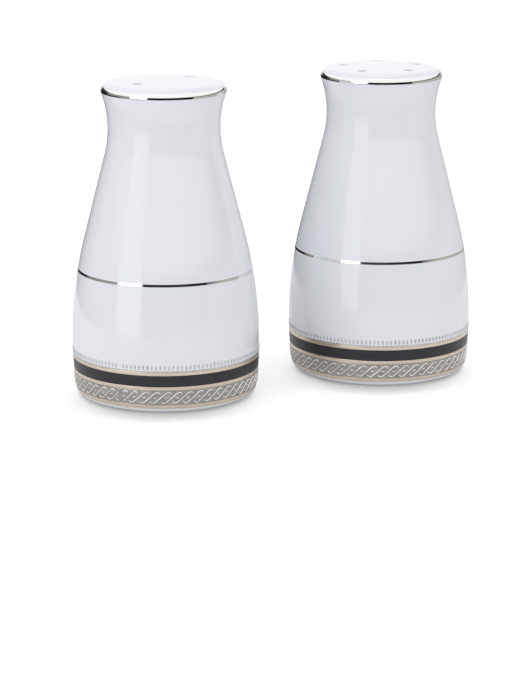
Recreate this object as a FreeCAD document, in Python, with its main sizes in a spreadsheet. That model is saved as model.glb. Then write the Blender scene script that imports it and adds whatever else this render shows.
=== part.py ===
"""Salt and pepper shakers: two porcelain shakers with fired-on metal bands and a rubber stopper in each base.

The pair stands on the plane z = 0. +X runs from the salt shaker to the pepper shaker, +Z is up, and the origin is
midway between their two axes, on the table. Sizes are in millimetres and angles in degrees.
"""

import FreeCAD
import Part
import Sketcher
import math
import os

from FreeCAD import Placement, Rotation, Vector

DIMENSIONS = {
    # Outline of the porcelain: foot, belly, neck, rim and cap are tangent arcs, with a straight flank below the neck.
    "overall_height": 89.4,
    "foot_round": 3.0,
    "belly_radius": 26.5,
    "belly_height": 15.7,
    "belly_arc": 116.4,
    "neck_radius": 15.75,
    "neck_height": 76.0,
    "neck_arc": 29.2,
    "rim_round": 2.5,
    "cap_arc": 200.0,
    # Inside: the chamber, the recess inside the foot ring and the filling hole in the base.
    "wall": 2.6,
    "cap_wall": 2.6,
    "chamber_cap_round": 1.0,
    "chamber_base_round": 4.0,
    "recess_radius": 20.2,
    "recess_depth": 3.0,
    "base_thickness": 3.0,
    "filling_hole_radius": 9.5,
    "base_edge_round": 0.4,
    # Pour holes in the cap.
    "pour_hole_radius": 1.15,
    "pour_hole_edge_round": 0.35,
    "pour_hole_floor": 83.0,
    "salt_hole_count": 2,
    "salt_hole_circle": 9.9,
    "salt_hole_angle": 20.0,
    "pepper_hole_count": 5,
    "pepper_hole_circle": 11.2,
    "pepper_hole_angle": 70.0,
    # The pair on the table.
    "axis_spacing": 68.1,
    # Fired-on bands: how proud they stand, then the level of each edge.
    "film": 0.1,
    "foot_line_low": 1.55,
    "scroll_low": 2.6,
    "scroll_high": 6.95,
    "charcoal_low": 7.9,
    "charcoal_high": 11.1,
    "keyline_low": 12.1,
    "keyline_high": 12.5,
    "bead_level": 13.55,
    "bead_radius": 0.45,
    "waist_low": 35.75,
    "waist_high": 36.55,
    "rim_band_low": 86.1,
    "rim_band_high": 87.8,
    "slab_radius": 40.0,
    # The stopper: a hollow plug, a flange that covers the filling hole and a pull tab.
    "stopper_clearance": 0.05,
    "plug_height": 5.0,
    "plug_bevel": 0.6,
    "cup_radius": 6.9,
    "cup_floor": 1.2,
    "flange_radius": 12.6,
    "flange_thickness": 1.4,
    "flange_round": 0.5,
    "tab_length": 13.0,
    "tab_width": 2.4,
    "tab_height": 0.9,
    "tab_round": 0.35,
}
SHEET = "Dimensions"
BANDS = {
    "gold_line_foot": ("foot_line_low", "scroll_low"),
    "scroll_band": ("scroll_low", "scroll_high"),
    "gold_line_middle": ("scroll_high", "charcoal_low"),
    "charcoal_band": ("charcoal_low", "charcoal_high"),
    "gold_line_upper": ("charcoal_high", "keyline_low"),
    "border_keyline": ("keyline_low", "keyline_high"),
    "waist_line": ("waist_low", "waist_high"),
    "rim_band": ("rim_band_low", "rim_band_high"),
}
SIDES = {"salt": -1, "pepper": 1}
START, END, CENTRE = 1, 2, 3
ORIGIN = (-1, 1)
LEVEL_AXIS = -1
UPRIGHT_AXIS = -2
TOLERANCE = 1e-3

doc = FreeCAD.newDocument("SaltAndPepperShakers")


class Size:
    """A length that carries both its number and the formula over the sheet's cells that gives it."""

    def __init__(self, number, formula):
        self.number = number
        self.formula = formula

    def __add__(self, other):
        return Size(self.number + other.number, f"{self.formula} + ({other.formula})")

    def __sub__(self, other):
        return Size(self.number - other.number, f"{self.formula} - ({other.formula})")

    def __mul__(self, factor):
        return Size(self.number * factor, f"({self.formula}) * {factor}")


ZERO = Size(0.0, "0")
SIZES = {alias: Size(number, f"{SHEET}.{alias}") for alias, number in DIMENSIONS.items()}


def make_sheet():
    """The driving dimensions, one to a row: its name in column A and its number in column B."""
    sheet = doc.addObject("Spreadsheet::Sheet", SHEET)
    for row, (alias, number) in enumerate(DIMENSIONS.items(), start=1):
        sheet.set(f"A{row}", alias)
        sheet.set(f"B{row}", str(number))
        sheet.setAlias(f"B{row}", alias)
    doc.recompute()


def bind(item, prop, size):
    """Drive one property of an object from the sheet."""
    item.setExpression(prop, size.formula)


def origin_plane(body, role):
    """The origin plane of a body with the given role."""
    return next(item for item in body.Origin.OriginFeatures if item.Role == role)


def add_body(name):
    """An empty PartDesign body."""
    body = doc.addObject("PartDesign::Body", name)
    body.Label = name
    return body


def add_sketch(body, name, role="YZ_Plane", offset=ZERO):
    """A sketch on one of the body's origin planes, moved along the plane's normal by the offset."""
    sketch = body.newObject("Sketcher::SketchObject", name)
    sketch.AttachmentSupport = [(origin_plane(body, role), "")]
    sketch.MapMode = "FlatFace"
    sketch.AttachmentOffset = Placement(Vector(0, 0, offset.number), Rotation())
    if offset is not ZERO:
        bind(sketch, "AttachmentOffset.Base.z", offset)
    return sketch


def dimension(sketch, kind, place, size):
    """Add a driving dimension and bind it; a distance runs from the first place to the second."""
    sketch.addConstraint(Sketcher.Constraint(kind, *place, size.number))
    bind(sketch, f"Constraints[{sketch.ConstraintCount - 1}]", size)


def place_level(sketch, point, size):
    """Hold a point at a height above the table."""
    if size is ZERO:
        sketch.addConstraint(Sketcher.Constraint("PointOnObject", *point, LEVEL_AXIS))
    else:
        dimension(sketch, "DistanceY", (*ORIGIN, *point), size)


def place_radius(sketch, point, size):
    """Hold a point at a radius from the axis; a point beyond the axis is held from the other side."""
    if size is ZERO:
        sketch.addConstraint(Sketcher.Constraint("PointOnObject", *point, UPRIGHT_AXIS))
    elif size.number > 0:
        dimension(sketch, "DistanceX", (*ORIGIN, *point), size)
    else:
        dimension(sketch, "DistanceX", (*point, *ORIGIN), size * -1)


def stepped_sketch(body, name, corners):
    """A closed outline of level and upright lines; each corner is a radius and a height, and the last meets the first."""
    sketch = add_sketch(body, name)
    points = [Vector(radius.number, height.number, 0) for radius, height in corners]
    for index, point in enumerate(points):
        sketch.addGeometry(Part.LineSegment(point, points[(index + 1) % len(points)]))
    for index, (radius, height) in enumerate(corners):
        following = (index + 1) % len(points)
        sketch.addConstraint(Sketcher.Constraint("Coincident", index, END, following, START))
        level = abs(points[index].y - points[following].y) < TOLERANCE
        sketch.addConstraint(Sketcher.Constraint("Horizontal" if level else "Vertical", index))
        if level:
            place_level(sketch, (index, START), height)
        else:
            place_radius(sketch, (index, START), radius)
    return sketch


def toward(start, target, distance):
    """The point at a distance from the start, in the direction of the target."""
    return start + (target - start).normalize() * distance


def crossing(first, first_radius, second, second_radius):
    """Where two circles cross, on the left of the way from the first centre to the second."""
    across = second - first
    along = (across.Length ** 2 + first_radius ** 2 - second_radius ** 2) / (2 * across.Length)
    rise = math.sqrt(first_radius ** 2 - along ** 2)
    ahead = across.normalize()
    return first + ahead * along + Vector(-ahead.y, ahead.x, 0) * rise


def flank_ends(belly, belly_arc, neck, neck_arc):
    """The two ends of the straight flank, which leaves the belly arc and runs smoothly into the neck arc."""
    across = neck - belly
    slope = math.atan2(across.y, across.x) - math.acos((belly_arc + neck_arc) / across.Length)
    normal = Vector(math.cos(slope), math.sin(slope), 0)
    return belly + normal * belly_arc, neck - normal * neck_arc


def contact(larger, radius, smaller):
    """Where two arcs touch: on the larger one, in the direction of the smaller one's centre."""
    return larger + (smaller - larger).normalize() * radius


def add_arc(sketch, centre, first, last, clockwise=False):
    """An arc about a centre; returns its index and the Sketcher numbers of its first and last points."""
    start, end = (last, first) if clockwise else (first, last)
    angles = [math.atan2(point.y - centre.y, point.x - centre.x) for point in (start, end)]
    if angles[1] < angles[0]:
        angles[1] += 2 * math.pi
    circle = Part.Circle(centre, Vector(0, 0, 1), (start - centre).Length)
    index = sketch.addGeometry(Part.ArcOfCircle(circle, *angles))
    return (index, END, START) if clockwise else (index, START, END)


def add_line(sketch, first, last):
    """A line; returns its index and the Sketcher numbers of its first and last points."""
    return (sketch.addGeometry(Part.LineSegment(first, last)), START, END)


def join(sketch, kind, link, following):
    """Join the last point of one link to the first point of the next."""
    sketch.addConstraint(Sketcher.Constraint(kind, link[0], link[2], following[0], following[1]))


def form_sketch(body, name, offset, cap_offset, foot_round, rim_round, floor):
    """The closed half outline of a solid shaker form: the glaze outline moved outwards by an offset, with its own
    round at the foot and at the rim."""
    belly_arc = SIZES["belly_arc"] + offset
    neck_arc = SIZES["neck_arc"] - offset
    cap_arc = SIZES["cap_arc"] + cap_offset
    belly_reach = SIZES["belly_radius"] - SIZES["belly_arc"]
    neck_reach = SIZES["neck_radius"] + SIZES["neck_arc"]
    top = SIZES["overall_height"] + cap_offset
    foot_level = floor + foot_round

    belly = Vector(belly_reach.number, DIMENSIONS["belly_height"], 0)
    neck = Vector(neck_reach.number, DIMENSIONS["neck_height"], 0)
    cap = Vector(0, top.number - cap_arc.number, 0)
    drop = belly.y - foot_level.number
    reach = math.sqrt((belly_arc.number - foot_round.number) ** 2 - drop ** 2)
    foot = Vector(belly.x + reach, foot_level.number, 0)
    rim = crossing(neck, neck_arc.number + rim_round.number, cap, cap_arc.number - rim_round.number)
    if rim.y < neck.y:
        rim = crossing(cap, cap_arc.number - rim_round.number, neck, neck_arc.number + rim_round.number)

    flank_low, flank_high = flank_ends(belly, belly_arc.number, neck, neck_arc.number)
    floor_start = Vector(0, floor.number, 0)
    foot_start = Vector(foot.x, floor.number, 0)
    foot_end = contact(belly, belly_arc.number, foot)
    rim_start = contact(neck, neck_arc.number, rim)
    rim_end = contact(cap, cap_arc.number, rim)
    peak = Vector(0, top.number, 0)

    sketch = add_sketch(body, name)
    floor_line = add_line(sketch, floor_start, foot_start)
    foot_link = add_arc(sketch, foot, foot_start, foot_end)
    belly_link = add_arc(sketch, belly, foot_end, flank_low)
    flank_link = add_line(sketch, flank_low, flank_high)
    neck_link = add_arc(sketch, neck, flank_high, rim_start, clockwise=True)
    rim_link = add_arc(sketch, rim, rim_start, rim_end)
    cap_link = add_arc(sketch, cap, rim_end, peak)
    axis_line = add_line(sketch, peak, floor_start)

    smooth = [floor_line, foot_link, belly_link, flank_link, neck_link, rim_link, cap_link]
    for link, following in zip(smooth, smooth[1:]):
        join(sketch, "Tangent", link, following)
    join(sketch, "Coincident", cap_link, axis_line)
    join(sketch, "Coincident", axis_line, floor_line)
    sketch.addConstraint(Sketcher.Constraint("Horizontal", floor_line[0]))
    sketch.addConstraint(Sketcher.Constraint("PointOnObject", floor_line[0], START, UPRIGHT_AXIS))
    sketch.addConstraint(Sketcher.Constraint("PointOnObject", cap_link[0], CENTRE, UPRIGHT_AXIS))
    sketch.addConstraint(Sketcher.Constraint("PointOnObject", cap_link[0], END, UPRIGHT_AXIS))
    place_level(sketch, (floor_line[0], START), floor)
    place_level(sketch, (cap_link[0], END), top)
    place_radius(sketch, (belly_link[0], CENTRE), belly_reach)
    place_level(sketch, (belly_link[0], CENTRE), SIZES["belly_height"])
    place_radius(sketch, (neck_link[0], CENTRE), neck_reach)
    place_level(sketch, (neck_link[0], CENTRE), SIZES["neck_height"])
    radii = [
        (foot_link, foot_round),
        (belly_link, belly_arc),
        (neck_link, neck_arc),
        (rim_link, rim_round),
        (cap_link, cap_arc),
    ]
    for link, radius in radii:
        dimension(sketch, "Radius", (link[0],), radius)
    return sketch


def revolve(body, sketch, name, kind="Revolution"):
    """Turn a sketch once round the body's axis, adding to the body or cutting from it."""
    feature = body.newObject(f"PartDesign::{kind}", name)
    feature.Profile = sketch
    feature.ReferenceAxis = (sketch, ["V_Axis"])
    feature.Angle = 360
    body.Tip = feature
    doc.recompute()
    return feature


def checked_cut(before, after, what):
    """Stop if a cut removed nothing."""
    if after.Shape.Volume > before.Shape.Volume - TOLERANCE:
        raise RuntimeError(f"{what} cut nothing")


def form_body(name, offset):
    """A solid body whose skin stands off the glaze by the offset."""
    body = add_body(name)
    foot_round = SIZES["foot_round"] + offset
    rim_round = SIZES["rim_round"] + offset
    sketch = form_sketch(body, f"{name}_outline", offset, offset, foot_round, rim_round, ZERO - offset)
    return body, revolve(body, sketch, f"{name}_form")


def edge_names(feature, wanted):
    """The names of a feature's edges that pass a test."""
    return [f"Edge{number}" for number, edge in enumerate(feature.Shape.Edges, start=1) if wanted(edge)]


def round_edges(body, feature, name, wanted, radius):
    """Round the edges of a feature that pass a test."""
    names = edge_names(feature, wanted)
    if not names:
        raise RuntimeError(f"{name} found no edge")
    rounded = body.newObject("PartDesign::Fillet", name)
    rounded.Base = (feature, names)
    bind(rounded, "Radius", radius)
    body.Tip = rounded
    doc.recompute()
    return rounded


def ring_edge(radius, level):
    """A test for a whole or part circle about the axis at a radius and a level."""
    def wanted(edge):
        if edge.Degenerated or not isinstance(edge.Curve, Part.Circle):
            return False
        on_level = abs(edge.Curve.Center.z - level) < TOLERANCE
        return on_level and abs(edge.Curve.Radius - radius) < TOLERANCE
    return wanted


def cut_base(body, feature, name):
    """Cut the recess inside the foot ring and the filling hole, and round their edges."""
    recess, depth = SIZES["recess_radius"], SIZES["recess_depth"]
    hole, base_top = SIZES["filling_hole_radius"], SIZES["recess_depth"] + SIZES["base_thickness"]
    corners = [(ZERO, ZERO), (recess, ZERO), (recess, depth), (hole, depth), (hole, base_top), (ZERO, base_top)]
    cut = revolve(body, stepped_sketch(body, f"{name}_base_outline", corners), f"{name}_base_cut", "Groove")
    checked_cut(feature, cut, "the base")

    def wanted(edge):
        places = [(recess, ZERO), (recess, depth), (hole, depth), (hole, base_top)]
        return any(ring_edge(radius.number, level.number)(edge) for radius, level in places)
    return round_edges(body, cut, f"{name}_base_rounds", wanted, SIZES["base_edge_round"])


def drill_pour_holes(body, feature, name):
    """Drill one pour hole through the cap, repeat it round the axis and round the upper edge of each."""
    sketch = add_sketch(body, f"{name}_pour_hole", "XY_Plane", SIZES["pour_hole_floor"])
    circle, angle = SIZES[f"{name}_hole_circle"], SIZES[f"{name}_hole_angle"]
    turn = math.radians(angle.number)
    centre = Vector(circle.number * math.cos(turn), circle.number * math.sin(turn), 0)
    spoke = sketch.addGeometry(Part.LineSegment(Vector(0, 0, 0), centre), True)
    hole = sketch.addGeometry(Part.Circle(centre, Vector(0, 0, 1), DIMENSIONS["pour_hole_radius"]))
    sketch.addConstraint(Sketcher.Constraint("Coincident", spoke, START, *ORIGIN))
    sketch.addConstraint(Sketcher.Constraint("Coincident", spoke, END, hole, CENTRE))
    dimension(sketch, "Distance", (spoke,), circle)
    sketch.addConstraint(Sketcher.Constraint("Angle", LEVEL_AXIS, START, spoke, START, turn))
    sketch.setExpression(f"Constraints[{sketch.ConstraintCount - 1}]", f"{angle.formula} * 1 deg")
    dimension(sketch, "Radius", (hole,), SIZES["pour_hole_radius"])

    pocket = body.newObject("PartDesign::Pocket", f"{name}_pour_hole_cut")
    pocket.Profile = sketch
    pocket.Type = "Length"
    pocket.Reversed = True
    bind(pocket, "Length", SIZES["overall_height"] - SIZES["pour_hole_floor"])
    doc.recompute()
    checked_cut(feature, pocket, "the pour hole")
    one_hole = feature.Shape.Volume - pocket.Shape.Volume

    pattern = body.newObject("PartDesign::PolarPattern", f"{name}_pour_hole_ring")
    pattern.Originals = [pocket]
    pattern.Axis = (origin_axis(body), [""])
    pattern.Angle = 360
    pattern.setExpression("Occurrences", SIZES[f"{name}_hole_count"].formula)
    body.Tip = pattern
    doc.recompute()
    count = DIMENSIONS[f"{name}_hole_count"]
    removed = feature.Shape.Volume - pattern.Shape.Volume
    if abs(removed - count * one_hole) > 0.01 * count * one_hole:
        raise RuntimeError(f"{name} should have {count} pour holes")
    lowest = DIMENSIONS["overall_height"] - DIMENSIONS["cap_wall"] / 2

    def wanted(edge):
        box = edge.BoundBox
        middle = math.hypot(box.Center.x, box.Center.y)
        small = max(box.XLength, box.YLength) < 2.2 * DIMENSIONS["pour_hole_radius"]
        return box.ZMin > lowest and small and abs(middle - circle.number) < DIMENSIONS["pour_hole_radius"]
    return round_edges(body, pattern, f"{name}_pour_hole_rounds", wanted, SIZES["pour_hole_edge_round"])


def origin_axis(body):
    """The body's upright axis."""
    return next(item for item in body.Origin.OriginFeatures if item.Role == "Z_Axis")


def porcelain(name):
    """One shaker's porcelain: the glazed form, hollowed out, with its base and its pour holes."""
    body, form = form_body(f"{name}_body", ZERO)
    inward = ZERO - SIZES["wall"]
    cap_inward = ZERO - SIZES["cap_wall"]
    floor = SIZES["recess_depth"] + SIZES["base_thickness"]
    rounds = (SIZES["chamber_base_round"], SIZES["chamber_cap_round"])
    outline = form_sketch(body, f"{name}_chamber_outline", inward, cap_inward, *rounds, floor)
    chamber = revolve(body, outline, f"{name}_chamber", "Groove")
    checked_cut(form, chamber, "the chamber")
    base = cut_base(body, chamber, name)
    drill_pour_holes(body, base, name)
    return body


def stopper(name):
    """One rubber stopper: a hollow plug in the filling hole, a flange under it and a tab to pull it by."""
    body = add_body(f"{name}_stopper")
    flange_top = SIZES["recess_depth"] - SIZES["stopper_clearance"]
    flange_low = flange_top - SIZES["flange_thickness"]
    plug_top = flange_top + SIZES["plug_height"]
    cup_level = flange_top + SIZES["cup_floor"]
    plug = SIZES["filling_hole_radius"] - SIZES["stopper_clearance"]
    flange, cup = SIZES["flange_radius"], SIZES["cup_radius"]
    corners = [
        (ZERO, flange_low),
        (flange, flange_low),
        (flange, flange_top),
        (plug, flange_top),
        (plug, plug_top),
        (cup, plug_top),
        (cup, cup_level),
        (ZERO, cup_level),
    ]
    turned = revolve(body, stepped_sketch(body, f"{name}_stopper_outline", corners), f"{name}_stopper_form")
    bevel = body.newObject("PartDesign::Chamfer", f"{name}_plug_bevel")
    bevel.Base = (turned, edge_names(turned, ring_edge(plug.number, plug_top.number)))
    bind(bevel, "Size", SIZES["plug_bevel"])
    body.Tip = bevel
    doc.recompute()

    def flange_edge(edge):
        return any(ring_edge(flange.number, level.number)(edge) for level in (flange_low, flange_top))
    rounded = round_edges(body, bevel, f"{name}_flange_rounds", flange_edge, SIZES["flange_round"])

    sketch = add_sketch(body, f"{name}_tab_outline", "XY_Plane", flange_low)
    half_width = SIZES["tab_width"] * 0.5
    half_straight = (SIZES["tab_length"] - SIZES["tab_width"]) * 0.5
    reach, side = half_straight.number, half_width.number
    right = add_arc(sketch, Vector(reach, 0, 0), Vector(reach, -side, 0), Vector(reach, side, 0))
    back = add_line(sketch, Vector(reach, side, 0), Vector(-reach, side, 0))
    left = add_arc(sketch, Vector(-reach, 0, 0), Vector(-reach, side, 0), Vector(-reach, -side, 0))
    front = add_line(sketch, Vector(-reach, -side, 0), Vector(reach, -side, 0))
    links = [right, back, left, front]
    for link, following in zip(links, links[1:] + links[:1]):
        join(sketch, "Tangent", link, following)
    for arc in (right, left):
        sketch.addConstraint(Sketcher.Constraint("PointOnObject", arc[0], CENTRE, LEVEL_AXIS))
    place_radius(sketch, (right[0], CENTRE), half_straight)
    place_radius(sketch, (left[0], CENTRE), half_straight * -1)
    dimension(sketch, "Radius", (right[0],), half_width)
    tab = body.newObject("PartDesign::Pad", f"{name}_tab")
    tab.Profile = sketch
    tab.Reversed = True
    bind(tab, "Length", SIZES["tab_height"])
    body.Tip = tab
    doc.recompute()
    if tab.Shape.Volume < rounded.Shape.Volume + TOLERANCE:
        raise RuntimeError("the tab added nothing")
    low = flange_low.number - DIMENSIONS["tab_height"]

    def tab_edge(edge):
        return edge.BoundBox.ZMax < low + TOLERANCE
    round_edges(body, tab, f"{name}_tab_rounds", tab_edge, SIZES["tab_round"])
    return body


def level_slab(name, low, high):
    """A disc as wide as both outlines, between two levels."""
    slab = doc.addObject("Part::Cylinder", name)
    bind(slab, "Radius", SIZES["slab_radius"])
    bind(slab, "Height", SIZES[high] - SIZES[low])
    bind(slab, "Placement.Base.z", SIZES[low])
    return slab


def add_boolean(kind, name, base, tool):
    """A boolean of two objects."""
    result = doc.addObject(f"Part::{kind}", name)
    result.Label = name
    result.Base = base
    result.Tool = tool
    return result


def decoration():
    """The tools that every fired-on band is made from, and a maker for each band."""
    bare, _ = form_body("bare_form", ZERO)
    fired, _ = form_body("fired_form", SIZES["film"])
    skin = add_boolean("Cut", "fired_skin", fired, bare)
    slabs = {band: level_slab(f"{band}_slab", low, high) for band, (low, high) in BANDS.items()}
    bead_ring = doc.addObject("Part::Torus", "bead_ring")
    drop = SIZES["belly_height"] - SIZES["bead_level"]
    reach = f"sqrt({SIZES['belly_arc'].formula} ^ 2 - ({drop.formula}) ^ 2)"
    centre = (SIZES["belly_radius"] - SIZES["belly_arc"]).formula
    bead_ring.setExpression("Radius1", f"{centre} + {reach}")
    bind(bead_ring, "Radius2", SIZES["bead_radius"])
    bind(bead_ring, "Placement.Base.z", SIZES["bead_level"])
    return bare, skin, slabs, bead_ring


def build():
    """Build both shakers and return each sub-part by the name of its file."""
    make_sheet()
    bare, skin, slabs, bead_ring = decoration()
    parts = {}
    for name, side in SIDES.items():
        pieces = [porcelain(name), stopper(name)]
        for band, slab in slabs.items():
            pieces.append(add_boolean("Common", f"{name}_{band}", skin, slab))
        pieces.append(add_boolean("Cut", f"{name}_bead_border", bead_ring, bare))
        for piece in pieces:
            bind(piece, "Placement.Base.x", SIZES["axis_spacing"] * (0.5 * side))
            parts[piece.Label] = piece
    doc.recompute()
    return parts


def check(parts):
    """Stop if any object failed to compute or any sub-part isn't one sound solid."""
    for item in doc.Objects:
        if "Invalid" in item.State or "Error" in item.State:
            raise RuntimeError(f"{item.Label} failed: {item.State}")
    for name, part in parts.items():
        shape = part.Shape
        if shape.isNull() or not shape.isValid() or len(shape.Solids) != 1:
            raise RuntimeError(f"{name} isn't one sound solid")


def main():
    """Build, check and write one STEP file for each sub-part."""
    parts = build()
    check(parts)
    os.makedirs("parts", exist_ok=True)
    for name, part in parts.items():
        part.Shape.exportStep(f"parts/{name}.step")
        box = part.Shape.BoundBox
        print(f"{name}: {part.Shape.Volume:.1f} mm3, z {box.ZMin:.2f} to {box.ZMax:.2f}, {len(part.Shape.Faces)} faces")


main()
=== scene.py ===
"""Salt and pepper shakers of glazed porcelain with platinum, gold and charcoal bands, on a plain pale table.

The frame is in metres: +X from the salt shaker to the pepper shaker, +Z up, the table at z = 0. The pieces
are drawn in millimetres about their shaker's axis, then scaled and moved into place.
"""
import bmesh
import bpy
import math
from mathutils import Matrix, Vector, geometry


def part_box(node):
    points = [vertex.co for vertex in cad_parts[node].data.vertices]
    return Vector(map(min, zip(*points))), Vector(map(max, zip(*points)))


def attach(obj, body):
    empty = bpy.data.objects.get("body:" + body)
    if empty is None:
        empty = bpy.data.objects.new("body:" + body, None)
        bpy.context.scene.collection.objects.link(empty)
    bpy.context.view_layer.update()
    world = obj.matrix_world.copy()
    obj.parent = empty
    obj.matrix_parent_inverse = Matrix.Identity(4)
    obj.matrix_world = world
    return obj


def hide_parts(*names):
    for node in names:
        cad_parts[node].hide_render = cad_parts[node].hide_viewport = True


MM = 0.001
TURN = 2 * math.pi
AROUND = 224
SHAKERS = ("salt", "pepper")

# The outline that both shakers share, in millimetres: arcs about (radius, height) centres.
HEIGHT = 89.4
FOOT_ROUND = 3.0
BELLY_RADIUS, BELLY_HEIGHT, BELLY_ARC = 26.5, 15.7, 116.4
NECK_RADIUS, NECK_HEIGHT, NECK_ARC = 15.75, 76.0, 29.2
BELLY_CENTRE = Vector((BELLY_RADIUS - BELLY_ARC, BELLY_HEIGHT))
NECK_CENTRE = Vector((NECK_RADIUS + NECK_ARC, NECK_HEIGHT))
RIM_ROUND = 2.5
CAP_ARC = 200.0
CAP_CENTRE = Vector((0.0, HEIGHT - CAP_ARC))
WALL = 2.6
BASE_TOP = 6.0
RECESS_RADIUS = 20.2
RECESS_TOP = 3.0
FILLING_RADIUS = 9.5
EDGE_ROUND = 0.4
CHAMBER_BASE_ROUND = 4.0
CHAMBER_CAP_ROUND = 1.0
# The pour holes: how many there are, the radius of their circle and the angle of the first, in degrees.
HOLES = {"salt": (2, 9.9, 20.0), "pepper": (5, 11.2, 70.0)}
HOLE_RADIUS = 1.15
HOLE_EDGE = 0.4
HOLE_STEPS = 32
HOLE_EDGE_STEPS = 7

# The cap's two faces are filled sheets out to these radii. Their points lie in rings round each hole, given
# as (distance from its edge, number of points), and in rings about the axis that keep clear of those.
CAP_SHEET_RADIUS = 13.4
CAP_INNER_RADIUS = 13.2
HOLE_RINGS = ((0.12, 32), (0.3, 28), (0.6, 24))
HOLE_RINGS_CLEAR = 0.15
CAP_RINGS = 16
CAP_RINGS_CLEAR = 0.3
CAP_RINGS_OFF_HOLE = 0.85
FEWEST_ON_RING = 6
IN_HOLE = 0.98

# Where the two ends of the transfer meet, in degrees round each shaker, and how wide the gap is there.
SEAM = {"salt": 218.0, "pepper": 95.0}
SEAM_GAP = 0.9
BAND_RADIUS = 25.9

# Edges of the fired-on bands, in millimetres above the table.
FOOT_LINE = (1.5, 2.62)
SCROLL = (2.62, 6.95)
MIDDLE_LINE = (6.95, 7.9)
CHARCOAL = (7.9, 11.1)
UPPER_LINE = (11.1, 12.1)
KEYLINE = (12.1, 12.5)
BEAD_LEVEL = 13.4
WAIST_LINE = (35.7, 36.6)
RIM_BAND = (86.1, 87.8)

# How far a band stands proud of the glaze and how deep its underside sits in it. At its very edges it has a
# share of its full thickness, which it reaches a little way in.
THIN = 0.05
THICK = 0.06
SUNK = 0.06
EDGE_SHARE = 0.4
EDGE_WIDTH = 0.048
BAND_STEP = 0.4

# The scrolls: half of one strand and a dash as (along, level) points, and the (width, height) of each.
SCROLLS = 53
FIRST_SCROLL = 0.35
HALF_STRAND = [(-2.92, -1.02), (-2.72, -1.36), (-2.32, -1.56), (-1.8, -1.5), (-1.34, -1.18), (-0.74, -0.66),
               (0.0, 0.0)]
DASH = [(-0.55, -0.06), (-0.28, 0.0), (0.0, 0.02), (0.28, 0.04), (0.55, 0.1)]
STRAND_SIZE = (0.38, 0.16)
DASH_SIZE = (0.34, 0.12)
STRAND_END_GAP = 0.1
STRAND_SECTION = [(-1.0, -0.06), (-0.75, 0.62), (-0.35, 0.94), (0.0, 1.0), (0.35, 0.94), (0.75, 0.62),
                  (1.0, -0.06)]
STRAND_TAPER = (0.35, 0.8, 1.0)
SPAN_STEPS = 4

# The beads: how many, half their width and length, their height, and the rises of the rings on each.
BEADS = 138
BEAD_WIDE, BEAD_TALL, BEAD_HIGH = 0.28, 0.7, 0.12
BEAD_SIDES = 12
BEAD_RISES = (-0.12, 0.25, 0.5, 0.72, 0.9)

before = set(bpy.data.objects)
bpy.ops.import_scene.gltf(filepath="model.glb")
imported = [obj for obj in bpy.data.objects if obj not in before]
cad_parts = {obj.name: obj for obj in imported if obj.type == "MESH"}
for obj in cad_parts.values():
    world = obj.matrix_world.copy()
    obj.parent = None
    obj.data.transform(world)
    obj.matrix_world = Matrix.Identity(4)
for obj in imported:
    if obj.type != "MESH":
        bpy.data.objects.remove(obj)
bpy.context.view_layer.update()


# ---------------------------------------------------------------- outline

def toward(angle):
    """The unit vector at an angle."""
    return Vector((math.cos(angle), math.sin(angle)))


def on_circle(radius, angle):
    """A point on a circle about the axis."""
    return radius * math.cos(angle), radius * math.sin(angle)


def crossing(first, first_radius, second, second_radius):
    """Where two circles cross, on the left of the way from the first centre to the second."""
    across = second - first
    along = (across.length ** 2 + first_radius ** 2 - second_radius ** 2) / (2 * across.length)
    rise = math.sqrt(first_radius ** 2 - along ** 2)
    ahead = across.normalized()
    return first + ahead * along + Vector((-ahead.y, ahead.x)) * rise


def touch(centre, radius, other):
    """Where two arcs touch: on the first one, in the direction of the other's centre."""
    return centre + (other - centre).normalized() * radius


def arc(centre, radius, start, end, steps):
    """Points along an arc from the angle of one point to the angle of another, the short way."""
    first = math.atan2(start.y - centre.y, start.x - centre.x)
    sweep = math.atan2(end.y - centre.y, end.x - centre.x) - first
    sweep = (sweep + math.pi) % TURN - math.pi
    return [centre + toward(first + sweep * step / steps) * radius for step in range(steps + 1)]


def form(offset, foot_round, rim_round, floor):
    """The corner points and centres of the outline moved outwards by an offset."""
    belly_arc, neck_arc, cap_arc = BELLY_ARC + offset, NECK_ARC - offset, CAP_ARC + offset
    foot_rise = floor + foot_round
    reach = math.sqrt((belly_arc - foot_round) ** 2 - (BELLY_CENTRE.y - foot_rise) ** 2)
    foot = Vector((BELLY_CENTRE.x + reach, foot_rise))
    rim = crossing(CAP_CENTRE, cap_arc - rim_round, NECK_CENTRE, neck_arc + rim_round)
    across = NECK_CENTRE - BELLY_CENTRE
    normal = toward(math.atan2(across.y, across.x) - math.acos((belly_arc + neck_arc) / across.length))
    return {
        "foot": foot,
        "rim": rim,
        "foot_start": Vector((foot.x, floor)),
        "foot_end": touch(BELLY_CENTRE, belly_arc, foot),
        "flank_low": BELLY_CENTRE + normal * belly_arc,
        "flank_high": NECK_CENTRE - normal * neck_arc,
        "rim_start": touch(NECK_CENTRE, neck_arc, rim),
        "rim_end": touch(CAP_CENTRE, cap_arc, rim),
    }


OUTER = form(0.0, FOOT_ROUND, RIM_ROUND, 0.0)
INNER = form(-WALL, CHAMBER_BASE_ROUND, CHAMBER_CAP_ROUND, BASE_TOP)


def cap_level(radius, inside=False):
    """The height of the cap's outer or inner face at a radius."""
    sphere = CAP_ARC - WALL if inside else CAP_ARC
    return CAP_CENTRE.y + math.sqrt(sphere ** 2 - radius ** 2)


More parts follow.
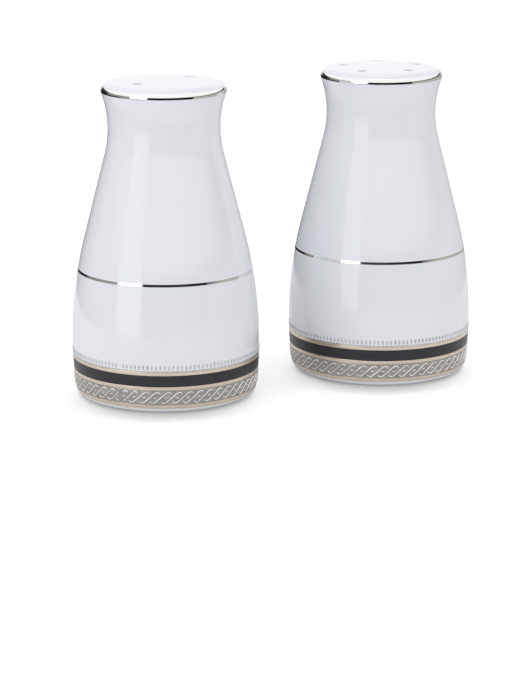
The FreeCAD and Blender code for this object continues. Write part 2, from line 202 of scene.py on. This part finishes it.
def skin(level):
    """The point and the outward normal of the glaze at a height anywhere but on the straight flank."""
    if level < OUTER["foot_end"].y:
        centre, radius, sign = OUTER["foot"], FOOT_ROUND, 1
    elif level < OUTER["flank_low"].y:
        centre, radius, sign = BELLY_CENTRE, BELLY_ARC, 1
    elif level > OUTER["rim_start"].y:
        centre, radius, sign = OUTER["rim"], RIM_ROUND, 1
    else:
        centre, radius, sign = NECK_CENTRE, NECK_ARC, -1
    rise = level - centre.y
    reach = math.sqrt(radius ** 2 - rise ** 2)
    point = Vector((centre.x + sign * reach, level))
    return point, (point - centre).normalized() * sign


# ---------------------------------------------------------------- meshes

def new_object(name, verts, faces, finishes, face_finishes=None):
    """A smooth mesh object from points in millimetres, with the number of each face's finish."""
    mesh = bpy.data.meshes.new(name)
    mesh.from_pydata([(x * MM, y * MM, z * MM) for x, y, z in verts], [], faces)
    for finish in finishes:
        mesh.materials.append(finish)
    mesh.polygons.foreach_set("use_smooth", [True] * len(mesh.polygons))
    if face_finishes:
        mesh.polygons.foreach_set("material_index", face_finishes)
    mesh.update()
    item = bpy.data.objects.new(name, mesh)
    bpy.context.scene.collection.objects.link(item)
    return item


def ring_faces(first, second, count):
    """Quads between two closed rings of points that start at the given indices."""
    faces = []
    for step in range(count):
        following = (step + 1) % count
        faces.append((first + step, first + following, second + following, second + step))
    return faces


def turned(profile, closed=False):
    """Points and faces of a profile of (radius, height) turned round the axis."""
    verts, faces = [], []
    for radius, height in profile:
        verts += [(*on_circle(radius, TURN * step / AROUND), height) for step in range(AROUND)]
    rows = len(profile) if closed else len(profile) - 1
    for row in range(rows):
        following = (row + 1) % len(profile)
        faces += ring_faces(row * AROUND, following * AROUND, AROUND)
    return verts, faces


def hole_centres(name):
    """The centres of a shaker's pour holes."""
    count, circle, first = HOLES[name]
    angles = [math.radians(first) + TURN * index / count for index in range(count)]
    return [Vector(on_circle(circle, angle)) for angle in angles]


def sheet_filling(centres, radius, hole):
    """The points that fill a face of the cap: rings round its holes, then rings about the axis."""
    points = []
    for centre in centres:
        for extra, count in HOLE_RINGS:
            spots = [centre + toward(TURN * (step + 0.5) / count) * (hole + extra) for step in range(count)]
            points += [spot for spot in spots if spot.length < radius - HOLE_RINGS_CLEAR]
    for ring in range(CAP_RINGS):
        reach = radius * (ring + 0.5) / CAP_RINGS
        if reach >= radius - CAP_RINGS_CLEAR:
            continue
        count = max(FEWEST_ON_RING, int(TURN * reach / (radius / CAP_RINGS)))
        for step in range(count):
            spot = toward(TURN * (step + 0.5 * (ring % 2)) / count) * reach
            if all((spot - centre).length > hole + CAP_RINGS_OFF_HOLE for centre in centres):
                points.append(spot)
    return points


def pierced_sheet(centres, radius, hole, inside):
    """One face of the cap, pierced by round holes: its points, triangles, and each hole's first point."""
    points = [Vector(on_circle(radius, TURN * step / AROUND)) for step in range(AROUND)]
    edges = [(step, (step + 1) % AROUND) for step in range(AROUND)]
    starts = []
    for centre in centres:
        first = len(points)
        starts.append(first)
        points += [centre + toward(TURN * step / HOLE_STEPS) * hole for step in range(HOLE_STEPS)]
        edges += [(first + step, first + (step + 1) % HOLE_STEPS) for step in range(HOLE_STEPS)]
    points += sheet_filling(centres, radius, hole)
    result = geometry.delaunay_2d_cdt(points, edges, [], 0, 1e-6)
    flat, triangles = result[0], result[2]
    kept = []
    for triangle in triangles:
        middle = sum((flat[index] for index in triangle), Vector((0, 0))) / 3
        if all((middle - centre).length > hole * IN_HOLE for centre in centres):
            kept.append(tuple(reversed(triangle)) if inside else tuple(triangle))
    verts = [(spot.x, spot.y, cap_level(spot.length, inside)) for spot in flat]
    return verts, kept, starts


def rounded_edge(centre, start, end):
    """A small rounded edge of the base about a centre, from one point to another."""
    return arc(Vector(centre), EDGE_ROUND, Vector(start), Vector(end), 5)


def body_profile():
    """The porcelain's section from the edge of the outer cap sheet, round the outside, under the foot and up
    the inside to the edge of the inner cap sheet. The second list gives each step's finish: 1 is unglazed."""
    sheet_edge = Vector((CAP_SHEET_RADIUS, cap_level(CAP_SHEET_RADIUS)))
    inner_edge = Vector((CAP_INNER_RADIUS, cap_level(CAP_INNER_RADIUS, True)))
    foot_in, recess_in = RECESS_RADIUS + EDGE_ROUND, RECESS_RADIUS - EDGE_ROUND
    filling, base_low = FILLING_RADIUS + EDGE_ROUND, BASE_TOP - EDGE_ROUND
    recess_low, recess_high = RECESS_TOP - EDGE_ROUND, RECESS_TOP + EDGE_ROUND
    runs = [
        (arc(CAP_CENTRE, CAP_ARC, sheet_edge, OUTER["rim_end"], 8), 0),
        (arc(OUTER["rim"], RIM_ROUND, OUTER["rim_end"], OUTER["rim_start"], 22), 0),
        (arc(NECK_CENTRE, NECK_ARC, OUTER["rim_start"], OUTER["flank_high"], 30), 0),
        ([OUTER["flank_high"].lerp(OUTER["flank_low"], step / 12) for step in range(13)], 0),
        (arc(BELLY_CENTRE, BELLY_ARC, OUTER["flank_low"], OUTER["foot_end"], 44), 0),
        (arc(OUTER["foot"], FOOT_ROUND, OUTER["foot_end"], OUTER["foot_start"], 14), 0),
        ([OUTER["foot_start"], Vector((foot_in, 0.0))], 1),
        (rounded_edge((foot_in, EDGE_ROUND), (foot_in, 0), (RECESS_RADIUS, EDGE_ROUND)), 1),
        (rounded_edge((recess_in, recess_low), (RECESS_RADIUS, recess_low), (recess_in, RECESS_TOP)), 0),
        (rounded_edge((filling, recess_high), (filling, RECESS_TOP), (FILLING_RADIUS, recess_high)), 0),
        (rounded_edge((filling, base_low), (FILLING_RADIUS, base_low), (filling, BASE_TOP)), 0),
        (arc(INNER["foot"], CHAMBER_BASE_ROUND, INNER["foot_start"], INNER["foot_end"], 8), 0),
        (arc(BELLY_CENTRE, BELLY_ARC - WALL, INNER["foot_end"], INNER["flank_low"], 20), 0),
        (arc(NECK_CENTRE, NECK_ARC + WALL, INNER["flank_high"], INNER["rim_start"], 14), 0),
        (arc(INNER["rim"], CHAMBER_CAP_ROUND, INNER["rim_start"], INNER["rim_end"], 6), 0),
        ([INNER["rim_end"], inner_edge], 0),
    ]
    points, kinds = [], []
    for run, kind in runs:
        for point in run:
            if points and (points[-1] - point).length < 1e-4:
                continue
            if points:
                kinds.append(kind)
            points.append(point)
    return points, kinds


def line_hole(verts, faces, centre, mouth, upper, bottom):
    """A pour hole's rounded upper edge and its wall, between the rings of points round it in both faces."""
    for edge_step in range(1, HOLE_EDGE_STEPS + 1):
        swing = math.pi / 2 * edge_step / HOLE_EDGE_STEPS
        reach = mouth - HOLE_EDGE * math.sin(swing)
        drop = HOLE_EDGE * (1 - math.cos(swing))
        lower = len(verts)
        for step in range(HOLE_STEPS):
            side = toward(TURN * step / HOLE_STEPS)
            spot = centre + side * reach
            verts.append((spot.x, spot.y, cap_level((centre + side * mouth).length) - drop))
        faces += ring_faces(lower, upper, HOLE_STEPS)
        upper = lower
    faces += ring_faces(bottom, upper, HOLE_STEPS)


def porcelain_body(name, finishes):
    """One shaker's porcelain, with rounded edges on its pour holes."""
    profile, kinds = body_profile()
    verts, faces = turned(profile)
    faces = [tuple(reversed(face)) for face in faces]
    face_kinds = [kind for kind in kinds for _ in range(AROUND)]
    centres = hole_centres(name)
    mouth = HOLE_RADIUS + HOLE_EDGE
    rings = []
    for inside, radius, hole in ((False, CAP_SHEET_RADIUS, mouth), (True, CAP_INNER_RADIUS, HOLE_RADIUS)):
        sheet_verts, triangles, starts = pierced_sheet(centres, radius, hole, inside)
        base = len(verts)
        verts += sheet_verts
        faces += [tuple(base + index for index in triangle) for triangle in triangles]
        rings.append([base + start for start in starts])
    for centre, upper, bottom in zip(centres, *rings):
        line_hole(verts, faces, centre, mouth, upper, bottom)
    face_kinds += [0] * (len(faces) - len(face_kinds))
    item = new_object(f"{name}_porcelain", verts, faces, finishes, face_kinds)
    weld(item)
    return item


def weld(item):
    """Join the points that two parts of a mesh share."""
    mesh = bmesh.new()
    mesh.from_mesh(item.data)
    bmesh.ops.remove_doubles(mesh, verts=mesh.verts, dist=2e-7)
    mesh.to_mesh(item.data)
    mesh.free()
    item.data.update()


def band(name, levels, proud, finish, steps=6):
    """A fired-on band: a thin layer on the glaze between two levels, thinning out at both edges."""
    low, high = levels
    count = max(steps, int((high - low) / BAND_STEP) + 2)
    rows = [skin(low + (high - low) * step / count) for step in range(1, count)]
    low_point, low_normal = skin(low)
    high_point, high_normal = skin(high)
    low_full, low_full_normal = skin(low + EDGE_WIDTH)
    high_full, high_full_normal = skin(high - EDGE_WIDTH)
    profile = [
        low_point - low_normal * SUNK,
        low_point + low_normal * proud * EDGE_SHARE,
        low_full + low_full_normal * proud,
        *[point + normal * proud for point, normal in rows],
        high_full + high_full_normal * proud,
        high_point + high_normal * proud * EDGE_SHARE,
        high_point - high_normal * SUNK,
        *[point - normal * SUNK for point, normal in reversed(rows)],
    ]
    verts, faces = turned([(point.x, point.y) for point in profile], closed=True)
    return new_object(name, verts, faces, [finish])


def pattern_run(name):
    """The angle at which a pattern starts beside the seam, and its length round the band."""
    return math.radians(SEAM[name]) + SEAM_GAP / 2 / BAND_RADIUS, BAND_RADIUS * TURN - SEAM_GAP


def on_band(along, level, proud, start):
    """A point on the glaze: along it from a starting angle, at a level and standing proud of it."""
    point, normal = skin(level)
    place = point + normal * proud
    return (*on_circle(place.x, start + along / BAND_RADIUS), place.y)


def between(before, first, second, after, part):
    """A number part of the way from the first to the second, smoothly in line with those beyond them."""
    return 0.5 * (2 * first + (second - before) * part
                  + (2 * before - 5 * first + 4 * second - after) * part ** 2
                  + (3 * first - before - 3 * second + after) * part ** 3)


def smooth_path(points):
    """Points on a smooth curve through the given ones."""
    ends = [points[0]] + points + [points[-1]]
    result = []
    for index in range(1, len(ends) - 2):
        for step in range(SPAN_STEPS):
            numbers = zip(*ends[index - 1:index + 3])
            result.append(tuple(between(*four, step / SPAN_STEPS) for four in numbers))
    result.append(points[-1])
    return result


def ribbon(verts, faces, path, start, size):
    """A raised round-backed strand along a path on the scroll band, with tapered ends."""
    width, height = size
    first = len(verts)
    for index, (along, level) in enumerate(path):
        ahead = path[min(index + 1, len(path) - 1)]
        behind = path[max(index - 1, 0)]
        direction = Vector((ahead[0] - behind[0], ahead[1] - behind[1])).normalized()
        side = Vector((-direction.y, direction.x))
        from_end = min(index, len(path) - 1 - index)
        taper = STRAND_TAPER[min(from_end, len(STRAND_TAPER) - 1)]
        for across, rise in STRAND_SECTION:
            spot = Vector((along, level)) + side * (across * width / 2 * taper)
            verts.append(on_band(spot.x, spot.y, THIN + rise * height * taper, start))
    count = len(STRAND_SECTION)
    for row in range(len(path) - 1):
        faces += ring_faces(first + (row + 1) * count, first + row * count, count)
    last = first + (len(path) - 1) * count
    faces.append(tuple(range(first, first + count)))
    faces.append(tuple(reversed(range(last, last + count))))


def scroll_relief(name, finish):
    """The running scrolls: slanted strands that hook over each other, with a short dash in each eye."""
    verts, faces = [], []
    start, length = pattern_run(name)
    pitch = length / SCROLLS
    middle = (SCROLL[0] + SCROLL[1]) / 2
    strand = smooth_path(HALF_STRAND + [(-along, -level) for along, level in reversed(HALF_STRAND[:-1])])
    for repeat in range(SCROLLS + 2):
        centre = pitch * (repeat - FIRST_SCROLL)
        for shape, shift, size in ((strand, centre, STRAND_SIZE), (DASH, centre + pitch / 2, DASH_SIZE)):
            path = [(shift + along, middle + level) for along, level in shape]
            path = [spot for spot in path if STRAND_END_GAP < spot[0] < length - STRAND_END_GAP]
            if len(path) > 3:
                ribbon(verts, faces, path, start, size)
    return new_object(f"{name}_scroll_relief", verts, faces, [finish])


def bead_row(name, finish):
    """The row of small upright beads, each a low dome on the glaze."""
    verts, faces = [], []
    start, length = pattern_run(name)
    for bead in range(BEADS):
        along = length * (bead + 0.5) / BEADS
        first = len(verts)
        for rise in BEAD_RISES:
            reach = math.sqrt(1 - max(rise, 0) ** 2)
            for side in range(BEAD_SIDES):
                angle = TURN * side / BEAD_SIDES
                verts.append(on_band(along + BEAD_WIDE * reach * math.cos(angle),
                                     BEAD_LEVEL + BEAD_TALL * reach * math.sin(angle),
                                     rise * BEAD_HIGH, start))
        verts.append(on_band(along, BEAD_LEVEL, BEAD_HIGH, start))
        for row in range(len(BEAD_RISES) - 1):
            faces += ring_faces(first + row * BEAD_SIDES, first + (row + 1) * BEAD_SIDES, BEAD_SIDES)
        top = len(verts) - 1
        rim = top - BEAD_SIDES
        faces += [(rim + side, rim + (side + 1) % BEAD_SIDES, top) for side in range(BEAD_SIDES)]
        faces.append(tuple(reversed(range(first, first + BEAD_SIDES))))
    return new_object(f"{name}_beads", verts, faces, [finish])


# ---------------------------------------------------------------- materials

def material(name, colour, roughness, metallic=0.0, **sockets):
    """A Principled material, its node tree and its shader, with constants set on the shader's own sockets."""
    result = bpy.data.materials.new(name)
    result.use_nodes = True
    shader = result.node_tree.nodes["Principled BSDF"]
    shader.inputs["Base Color"].default_value = (*colour, 1)
    shader.inputs["Roughness"].default_value = roughness
    shader.inputs["Metallic"].default_value = metallic
    for socket, number in sockets.items():
        shader.inputs[socket.replace("_", " ")].default_value = number
    return result, result.node_tree, shader


def noise(tree, scale, detail=3.0, stretch=(1, 1, 1)):
    """Noise over the object's own coordinates, stretched along some of them."""
    place = tree.nodes.new("ShaderNodeTexCoord")
    mapping = tree.nodes.new("ShaderNodeMapping")
    mapping.inputs["Scale"].default_value = stretch
    texture = tree.nodes.new("ShaderNodeTexNoise")
    texture.inputs["Scale"].default_value = scale
    texture.inputs["Detail"].default_value = detail
    tree.links.new(place.outputs["Object"], mapping.inputs["Vector"])
    tree.links.new(mapping.outputs["Vector"], texture.inputs["Vector"])
    return texture


def vary_colour(tree, shader, texture, low, high, spread=(0.35, 0.65)):
    """The colour runs between two values with a texture."""
    ramp = tree.nodes.new("ShaderNodeValToRGB")
    ramp.color_ramp.elements[0].position, ramp.color_ramp.elements[1].position = spread
    ramp.color_ramp.elements[0].color = (*low, 1)
    ramp.color_ramp.elements[1].color = (*high, 1)
    tree.links.new(texture.outputs["Fac"], ramp.inputs["Fac"])
    tree.links.new(ramp.outputs["Color"], shader.inputs["Base Color"])


def vary_roughness(tree, shader, texture, low, high):
    """The roughness runs between two values with a texture."""
    span = tree.nodes.new("ShaderNodeMapRange")
    span.inputs["To Min"].default_value = low
    span.inputs["To Max"].default_value = high
    tree.links.new(texture.outputs["Fac"], span.inputs["Value"])
    tree.links.new(span.outputs["Result"], shader.inputs["Roughness"])


def bump(tree, shader, texture, strength, distance):
    """Fine surface relief from a texture."""
    node = tree.nodes.new("ShaderNodeBump")
    node.inputs["Strength"].default_value = strength
    node.inputs["Distance"].default_value = distance
    tree.links.new(texture.outputs["Fac"], node.inputs["Height"])
    tree.links.new(node.outputs["Normal"], shader.inputs["Normal"])


def make_materials():
    """Every finish on the shakers."""
    made = {}
    made["porcelain"], tree, shader = material("porcelain glaze", (0.74, 0.753, 0.785), 0.07, IOR=1.5)
    vary_colour(tree, shader, noise(tree, 40), (0.727, 0.74, 0.775), (0.737, 0.75, 0.783))
    vary_roughness(tree, shader, noise(tree, 90), 0.05, 0.09)

    made["biscuit"], tree, shader = material("unglazed foot ring", (0.8, 0.79, 0.77), 0.75)
    vary_colour(tree, shader, noise(tree, 900), (0.76, 0.75, 0.72), (0.84, 0.83, 0.81))
    bump(tree, shader, noise(tree, 1800), 0.3, 0.0001)

    made["platinum"], tree, shader = material("polished platinum", (0.87, 0.865, 0.855), 0.08, 1.0)
    vary_roughness(tree, shader, noise(tree, 300), 0.05, 0.12)

    made["keyline"], tree, shader = material("border keyline", (0.62, 0.625, 0.64), 0.2, 1.0)
    vary_colour(tree, shader, noise(tree, 150), (0.58, 0.585, 0.6), (0.66, 0.665, 0.68))

    made["bead"], tree, shader = material("platinum beads", (0.64, 0.65, 0.66), 0.38, 0.9)
    vary_colour(tree, shader, noise(tree, 110), (0.54, 0.55, 0.56), (0.72, 0.73, 0.74))

    made["gold"], tree, shader = material("pale gold line", (0.8, 0.7, 0.58), 0.24, 0.95)
    lines = noise(tree, 60, 2.0, (1, 1, 60))
    vary_colour(tree, shader, lines, (0.74, 0.645, 0.53), (0.86, 0.765, 0.645))

    made["charcoal"], tree, shader = material("charcoal enamel", (0.02, 0.019, 0.023), 0.34)
    lines = noise(tree, 70, 3.0, (1, 1, 90))
    vary_colour(tree, shader, lines, (0.008, 0.0075, 0.0115), (0.024, 0.023, 0.029), (0.3, 0.7))
    bump(tree, shader, lines, 0.25, 0.00004)

    made["ground"], tree, shader = material("scroll ground", (0.44, 0.42, 0.39), 0.34, 0.85)
    vary_colour(tree, shader, noise(tree, 900, 4.0), (0.36, 0.34, 0.315), (0.48, 0.46, 0.43))

    made["strand"], tree, shader = material("raised scrolls", (0.85, 0.84, 0.81), 0.25, 0.85)
    vary_colour(tree, shader, noise(tree, 200), (0.74, 0.73, 0.7), (0.94, 0.93, 0.91))

    made["rubber"], tree, shader = material("silicone stopper", (0.78, 0.79, 0.8), 0.5)
    vary_colour(tree, shader, noise(tree, 500), (0.74, 0.75, 0.76), (0.82, 0.83, 0.84))
    bump(tree, shader, noise(tree, 1500), 0.15, 0.00005)
    return made


# ---------------------------------------------------------------- the shakers

def centre_of(node):
    """The axis of a node's shaker: the middle of its box."""
    low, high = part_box(node)
    return (low[0] + high[0]) / 2, (low[1] + high[1]) / 2


def place(item, name, nodes, slot):
    """Stand a piece on its shaker's axis, let it move with the shaker and stand for its CAD nodes."""
    x, y = centre_of(f"{name}_body")
    for vertex in item.data.vertices:
        vertex.co.x += x
        vertex.co.y += y
    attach(item, f"{name}_shaker")
    if nodes:
        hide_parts(*nodes)


def build_shaker(name, made):
    """One shaker's visual pieces."""
    place(porcelain_body(name, [made["porcelain"], made["biscuit"]]), name, [f"{name}_body"], "porcelain")
    pieces = [
        (band(f"{name}_foot_gold", FOOT_LINE, THIN, made["gold"]), "gold_line_foot", "gold"),
        (band(f"{name}_middle_gold", MIDDLE_LINE, THICK, made["gold"]), "gold_line_middle", "gold"),
        (band(f"{name}_upper_gold", UPPER_LINE, THICK, made["gold"]), "gold_line_upper", "gold"),
        (band(f"{name}_charcoal", CHARCOAL, THIN, made["charcoal"]), "charcoal_band", "charcoal"),
        (band(f"{name}_keyline", KEYLINE, THIN, made["keyline"]), "border_keyline", "platinum"),
        (band(f"{name}_waist", WAIST_LINE, THICK, made["platinum"], 8), "waist_line", "platinum"),
        (band(f"{name}_rim", RIM_BAND, THICK, made["platinum"], 24), "rim_band", "platinum"),
        (band(f"{name}_scroll_ground", SCROLL, THIN, made["ground"]), "scroll_band", "scroll_ground"),
        (bead_row(name, made["bead"]), "bead_border", "platinum"),
    ]
    for item, node, slot in pieces:
        place(item, name, [f"{name}_{node}"], slot)
    place(scroll_relief(name, made["strand"]), name, [], "scroll_ground")
    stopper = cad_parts[f"{name}_stopper"]
    stopper.data.materials.clear()
    stopper.data.materials.append(made["rubber"])


# ---------------------------------------------------------------- the studio

CAMERA = Vector((-0.3104, -0.6590, 0.19334))
HEADING = math.radians(-24.94)
PITCH = math.radians(14.26)
LENS = 132.97
# Horizontal directions: from the pair to the camera, from the camera to the pair, and to the camera's right.
FRONT = Vector((math.sin(HEADING), -math.cos(HEADING), 0))
BACK = Vector((-math.sin(HEADING), math.cos(HEADING), 0))
RIGHT = Vector((math.cos(HEADING), math.sin(HEADING), 0))


def add_camera():
    """The camera, a little above the caps and looking slightly down at the pair."""
    data = bpy.data.cameras.new("camera")
    data.lens = LENS
    data.sensor_width = 36.0
    data.clip_start = 0.01
    data.clip_end = 50.0
    camera = bpy.data.objects.new("camera", data)
    camera.location = CAMERA
    camera.rotation_euler = (math.pi / 2 - PITCH, 0, HEADING)
    bpy.context.scene.collection.objects.link(camera)
    bpy.context.scene.camera = camera


# Brightness of the studio round the shakers: degrees to the right of the front, then red, green and blue.
SURROUND = [
    (-180, (0.35, 0.36, 0.38)),
    (-166, (0.2, 0.2, 0.21)),
    (-156, (0.02, 0.02, 0.02)),
    (-126, (0.02, 0.02, 0.02)),
    (-112, (0.29, 0.28, 0.275)),
    (-64, (0.34, 0.33, 0.325)),
    (-30, (0.3, 0.3, 0.3)),
    (-27, (0.01, 0.01, 0.011)),
    (56, (0.01, 0.01, 0.011)),
    (60, (0.5, 0.48, 0.46)),
    (150, (0.46, 0.44, 0.42)),
    (180, (0.35, 0.36, 0.38)),
]
# What lies over it. Directions are in the same degrees, levels in degrees above the table, and a light is its
# brightness. A dark patch on the right, above the levels.
GAP = (48, 60, 150, 160)
GAP_LEVELS = (3, 6)
GAP_LIGHT = (0.03, 0.03, 0.03)
# A dark patch at the back left, below the levels.
LEFT_LOW = (-178, -166, -92, -78)
LEFT_LOW_LEVELS = (-6, -3)
LEFT_LOW_LIGHT = (0.02, 0.02, 0.02)
# The backdrop behind the pair, the ceiling and the top of the ceiling, above their levels.
BACKDROP = (-165, -150, 150, 165)
BACKDROP_LEVELS = (-5, 0)
BACKDROP_LIGHT = (1.03, 1.03, 1.03)
OVERHEAD_LEVELS = (8, 13)
OVERHEAD_LIGHT = (1.08, 1.08, 1.09)
ZENITH_LEVELS = (45, 80)
ZENITH_LIGHT = (1.3, 1.3, 1.31)
# The softbox, between the first two levels and the last two.
SOFTBOX = (-63, -60, -31, -27)
SOFTBOX_LEVELS = (-12, -6, 14, 20)
SOFTBOX_LIGHT = (2.0, 2.0, 2.0)
# Colours are stored divided by the gain, because a ramp's colours stay between 0 and 1.
GAIN = 4.0
SEEN_WHITE = 1.1


def add_world():
    """A soft surround: a tall softbox at the front left, darkness round the camera, soft grey sides and a
    broad bright ceiling. The camera itself sees plain white behind the table."""
    world = bpy.data.worlds.new("studio")
    world.use_nodes = True
    bpy.context.scene.world = world
    tree = world.node_tree
    tree.nodes.clear()

    def node(kind, **values):
        result = tree.nodes.new(kind)
        for key, value in values.items():
            setattr(result, key, value)
        return result

    def link(source, target):
        tree.links.new(source, target)

    direction = node("ShaderNodeTexCoord").outputs["Generated"]
    angle = node("ShaderNodeMath", operation="ARCTAN2")
    for axis, socket in zip((RIGHT, FRONT), angle.inputs):
        dot = node("ShaderNodeVectorMath", operation="DOT_PRODUCT")
        link(direction, dot.inputs[0])
        dot.inputs[1].default_value = axis
        link(dot.outputs["Value"], socket)
    share = node("ShaderNodeMapRange")
    share.inputs["From Min"].default_value = -math.pi
    share.inputs["From Max"].default_value = math.pi
    link(angle.outputs[0], share.inputs["Value"])

    height = node("ShaderNodeSeparateXYZ")
    link(direction, height.inputs[0])

    def rise(first, last):
        """From 0 to 1 as the direction climbs between two angles above the table, in degrees."""
        result = node("ShaderNodeMapRange", interpolation_type="SMOOTHSTEP")
        result.inputs["From Min"].default_value = math.sin(math.radians(first))
        result.inputs["From Max"].default_value = math.sin(math.radians(last))
        link(height.outputs["Z"], result.inputs["Value"])
        return result.outputs["Result"]

    def ramp_round(directions, colours):
        """A colour that follows the direction round the horizon, from stops in degrees."""
        result = node("ShaderNodeValToRGB")
        stops = result.color_ramp.elements
        while len(stops) < len(directions):
            stops.new(1.0)
        for stop, degrees, colour in zip(stops, directions, colours):
            stop.position = (degrees + 180) / 360
            stop.color = (*colour, 1)
        link(share.outputs["Result"], result.inputs["Fac"])
        return result.outputs["Color"]

    def across(directions, numbers):
        """A number that follows the direction round the horizon, from stops in degrees."""
        return ramp_round(directions, [(number,) * 3 for number in numbers])

    def combine(operation, first, second):
        """Two numbers multiplied, or the second taken from the first."""
        result = node("ShaderNodeMath", operation=operation)
        link(first, result.inputs[0])
        link(second, result.inputs[1])
        return result.outputs[0]

    def cover(under, factor, light):
        """Light of one brightness laid over what is there, by a factor."""
        result = node("ShaderNodeMix", data_type="RGBA")
        link(factor, result.inputs["Factor"])
        link(under, result.inputs["A"])
        result.inputs["B"].default_value = (*[part / GAIN for part in light], 1)
        return result.outputs["Result"]

    directions = [degrees for degrees, _ in SURROUND]
    colour = ramp_round(directions, [[part / GAIN for part in light] for _, light in SURROUND])
    gap = combine("MULTIPLY", across(GAP, (0, 1, 1, 0)), rise(*GAP_LEVELS))
    colour = cover(colour, gap, GAP_LIGHT)
    side = across(LEFT_LOW, (0, 1, 1, 0))
    low = combine("SUBTRACT", side, combine("MULTIPLY", side, rise(*LEFT_LOW_LEVELS)))
    colour = cover(colour, low, LEFT_LOW_LIGHT)
    backdrop = combine("MULTIPLY", across(BACKDROP, (1, 0, 0, 1)), rise(*BACKDROP_LEVELS))
    colour = cover(colour, backdrop, BACKDROP_LIGHT)
    colour = cover(colour, rise(*OVERHEAD_LEVELS), OVERHEAD_LIGHT)
    colour = cover(colour, rise(*ZENITH_LEVELS), ZENITH_LIGHT)
    window = combine("SUBTRACT", rise(*SOFTBOX_LEVELS[:2]), rise(*SOFTBOX_LEVELS[2:]))
    softbox = combine("MULTIPLY", across(SOFTBOX, (0, 1, 1, 0)), window)
    colour = cover(colour, softbox, SOFTBOX_LIGHT)

    studio = node("ShaderNodeBackground")
    studio.inputs["Strength"].default_value = GAIN
    link(colour, studio.inputs["Color"])
    plain = node("ShaderNodeBackground")
    plain.inputs["Color"].default_value = (1, 1, 1, 1)
    plain.inputs["Strength"].default_value = SEEN_WHITE
    seen = node("ShaderNodeLightPath")
    choose = node("ShaderNodeMixShader")
    link(seen.outputs["Is Camera Ray"], choose.inputs["Fac"])
    link(studio.outputs[0], choose.inputs[1])
    link(plain.outputs[0], choose.inputs[2])
    output = node("ShaderNodeOutputWorld")
    link(choose.outputs[0], output.inputs["Surface"])


# The floor's layers: radius, depth below the table plane, the rays that see it, and its brightness.
FLOORS = (
    ("seen_floor", 6.0, 0.00002, "camera", 0.55),
    ("floor", 6.0, 0.00006, "diffuse", 0.97),
    ("near_floor", 0.2, 0.00004, "glossy", 0.7),
)
FLOOR_SIDES = 64
FLOOR_MOTTLE = 0.005
FLOOR_GLOW = 0.53
# The contact shade: how near a shaker it starts, how far the light leans to the back, the openness at which
# the shade is full and at which it ends, and how bright the floor stays in full shade.
SHADE_REACH = 0.018
SHADE_LEAN = math.radians(62)
SHADE_OPENNESS = (0.32, 0.64)
SHADE_FULL = 0.5


def contact_shade(tree, shader):
    """Shade the floor near the shakers, most in front of them, as under a light from above and behind."""
    near = tree.nodes.new("ShaderNodeAmbientOcclusion")
    near.samples = 12
    near.inputs["Distance"].default_value = SHADE_REACH
    lean = tree.nodes.new("ShaderNodeCombineXYZ")
    for axis, part in zip("XYZ", BACK * math.sin(SHADE_LEAN) + Vector((0, 0, math.cos(SHADE_LEAN)))):
        lean.inputs[axis].default_value = part
    tree.links.new(lean.outputs["Vector"], near.inputs["Normal"])
    shade = tree.nodes.new("ShaderNodeMapRange")
    shade.inputs["From Min"].default_value = SHADE_OPENNESS[0]
    shade.inputs["From Max"].default_value = SHADE_OPENNESS[1]
    shade.inputs["To Min"].default_value = SHADE_FULL
    tree.links.new(near.outputs["AO"], shade.inputs["Value"])
    dim = tree.nodes.new("ShaderNodeVectorMath")
    dim.operation = "SCALE"
    tree.links.new(shader.inputs["Base Color"].links[0].from_socket, dim.inputs[0])
    tree.links.new(shade.outputs["Result"], dim.inputs["Scale"])
    tree.links.new(dim.outputs["Vector"], shader.inputs["Base Color"])
    tree.links.new(shade.outputs["Result"], shader.inputs["Emission Color"])


def clear_from_below(tree, shader):
    """Let the underside of the floor be seen through."""
    clear = tree.nodes.new("ShaderNodeBsdfTransparent")
    side = tree.nodes.new("ShaderNodeNewGeometry")
    either = tree.nodes.new("ShaderNodeMixShader")
    tree.links.new(side.outputs["Backfacing"], either.inputs["Fac"])
    tree.links.new(shader.outputs[0], either.inputs[1])
    tree.links.new(clear.outputs[0], either.inputs[2])
    tree.links.new(either.outputs[0], tree.nodes["Material Output"].inputs["Surface"])


def add_floor():
    """A plain pale table top, far larger than the pair. The camera sees it glow a little, so that it whitens
    soon after the contact shade. The polished bands mirror only the part of it close to the shakers, so past
    that they show the darkness of the studio."""
    for name, reach, drop, rays, tone in FLOORS:
        finish, tree, shader = material(f"pale table, {rays}", (tone, tone, tone), 0.6)
        shader.inputs["Specular IOR Level"].default_value = 0.0
        vary_colour(tree, shader, noise(tree, 3), (tone - FLOOR_MOTTLE,) * 3, (tone + FLOOR_MOTTLE,) * 3)
        if rays == "camera":
            shader.inputs["Emission Strength"].default_value = FLOOR_GLOW
            contact_shade(tree, shader)
            clear_from_below(tree, shader)
        verts = [(*on_circle(reach, TURN * step / FLOOR_SIDES), 0) for step in range(FLOOR_SIDES)]
        mesh = bpy.data.meshes.new(name)
        mesh.from_pydata(verts, [], [tuple(range(FLOOR_SIDES))])
        mesh.materials.append(finish)
        floor = bpy.data.objects.new(name, mesh)
        bpy.context.scene.collection.objects.link(floor)
        floor.location.z = -drop
        floor.visible_camera = rays == "camera"
        floor.visible_diffuse = rays == "diffuse"
        floor.visible_glossy = rays == "glossy"
        floor.visible_shadow = False


made = make_materials()
for shaker in SHAKERS:
    build_shaker(shaker, made)
add_floor()
add_world()
add_camera()
bpy.context.scene.view_settings.view_transform = "Standard"
